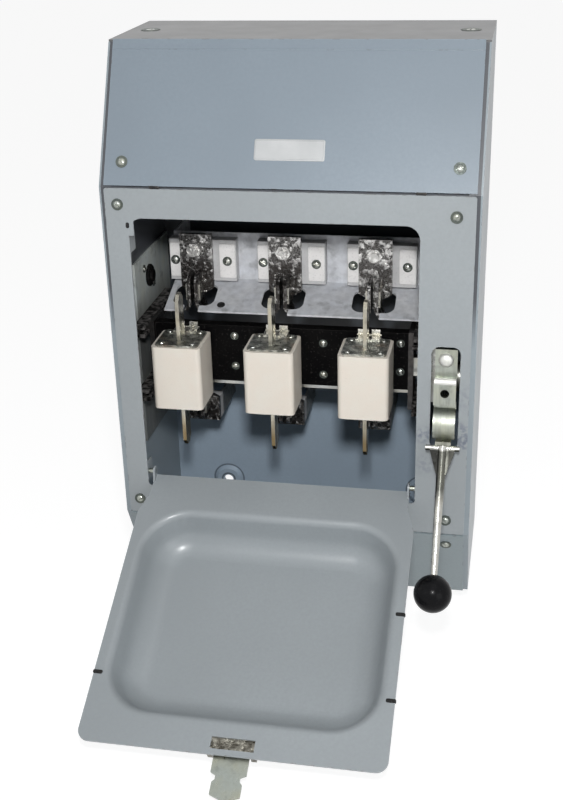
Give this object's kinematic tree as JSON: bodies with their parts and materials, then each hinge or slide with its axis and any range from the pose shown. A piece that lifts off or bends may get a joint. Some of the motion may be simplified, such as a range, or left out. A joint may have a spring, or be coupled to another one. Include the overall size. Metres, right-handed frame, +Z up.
{
  "type": "wall-mounted fuse switch disconnector box",
  "caption": "Sheet-steel wall box with a bottom-hinged dished door, side lever and sliding carriage of knife-blade fuses.",
  "frame": {"origin": "on the flat wall face of the back wall, at mid width and at the mid height of the front frame", "axes": "+X to the right seen from the front, +Y into the wall, +Z up"},
  "size_m": [0.288, 0.3944, 0.4765],
  "materials": {
    "enamel": "semi-gloss blue-grey stove enamel",
    "zinc": "bright zinc plating",
    "contact_metal": "tin-plated copper, slightly dull",
    "insulator": "moulded insulating block",
    "black_plastic": "moulded black insulating plastic",
    "knob_plastic": "polished black phenolic",
    "porcelain": "unglazed ivory porcelain"
  },
  "bodies": {
    "box": {"back_wall": "enamel", "left_wall": "enamel", "right_wall": "enamel", "top_wall": "enamel", "bottom_wall": "enamel", "seam_rails": "enamel", "front_frame": "enamel", "upper_cover": "enamel", "lower_cover": "enamel", "frame_ears": "enamel", "upper_plate": "zinc", "upper_insulators": "insulator", "upper_jaws": "contact_metal", "upper_springs": "zinc", "lower_brackets": "zinc", "lower_insulators": "insulator", "lower_jaws": "contact_metal", "lower_springs": "zinc", "left_cheek": "zinc", "right_cheek": "zinc", "left_rails": "black_plastic", "right_rails": "black_plastic", "lever_shaft": "zinc"},
    "carriage": {"traverse": "black_plastic", "traverse_strip": "zinc", "left_slider": "zinc", "right_slider": "zinc", "yoke": "zinc", "fuse_clips": "contact_metal", "fuse_body_1": "porcelain", "fuse_body_2": "porcelain", "fuse_body_3": "porcelain", "fuse_ends": "contact_metal", "fuse_blades": "contact_metal"},
    "lever": {"lever_hub": "zinc", "lever_strap": "zinc", "lever_shield": "zinc", "lever_rod": "zinc", "lever_knob": "knob_plastic"},
    "door": {"door_panel": "enamel", "door_ears": "enamel", "door_pins": "zinc", "latch_plate": "zinc"},
    "latch": {"latch_hasp": "zinc"}
  },
  "joints": [
    {"name": "door_hinge", "type": "hinge", "parent": "box", "child": "door", "pos_m": [0, -0.157, -0.102], "axis": [1, 0, 0], "range_deg": [-117, 0]},
    {"name": "latch_hinge", "type": "hinge", "parent": "door", "child": "latch", "pos_m": [-0.00925, -0.35917, -0.21624], "axis": [1, 0, 0], "range_deg": [0, 80]},
    {"name": "lever_turn", "type": "hinge", "parent": "box", "child": "lever", "pos_m": [0.1215, -0.115, -0.02], "axis": [-1, 0, 0], "range_deg": [0, 68]},
    {"name": "carriage_slide", "type": "slide", "parent": "box", "child": "carriage", "axis": [0, 1, 0], "range_m": [0, 0.052]}
  ],
  "couplings": [
    {"joint": "carriage_slide", "follows": "lever_turn", "m_per_rad": 0.04381}
  ]
}
